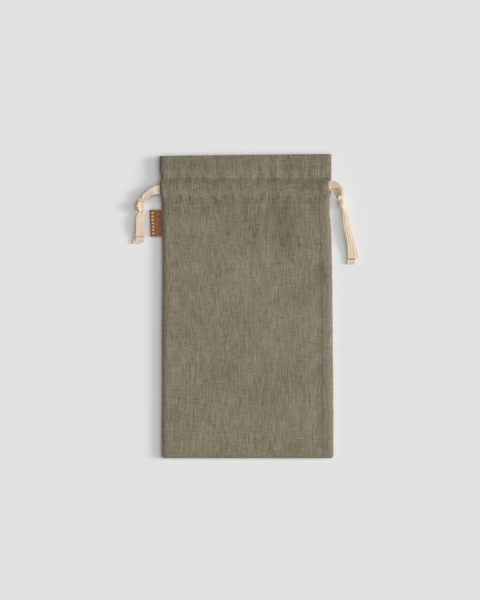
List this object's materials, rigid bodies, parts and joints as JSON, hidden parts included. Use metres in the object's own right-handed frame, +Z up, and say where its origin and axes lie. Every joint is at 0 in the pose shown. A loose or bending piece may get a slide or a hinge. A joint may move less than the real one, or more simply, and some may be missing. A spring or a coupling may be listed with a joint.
{
  "type": "drawstring pouch",
  "caption": "Flat linen drawstring pouch lying empty, with a gathered heading, a casing, knotted cotton tapes at both sides and a folded side label.",
  "frame": {"origin": "middle of the flat underside of the pouch body", "axes": "+Y along the pouch from the bottom seam towards the mouth, +X across to the right seen from the front, +Z up through the front panel"},
  "size_m": [0.2593, 0.3486, 0.0116],
  "materials": {
    "linen": "matte woven linen",
    "cotton_tape": "matte ribbed cotton tape",
    "label": "matte woven label"
  },
  "bodies": {
    "root": {"front_panel": "linen", "back_panel": "linen", "drawstring_left": "cotton_tape", "drawstring_right": "cotton_tape", "side_label": "label"}
  },
  "joints": []
}
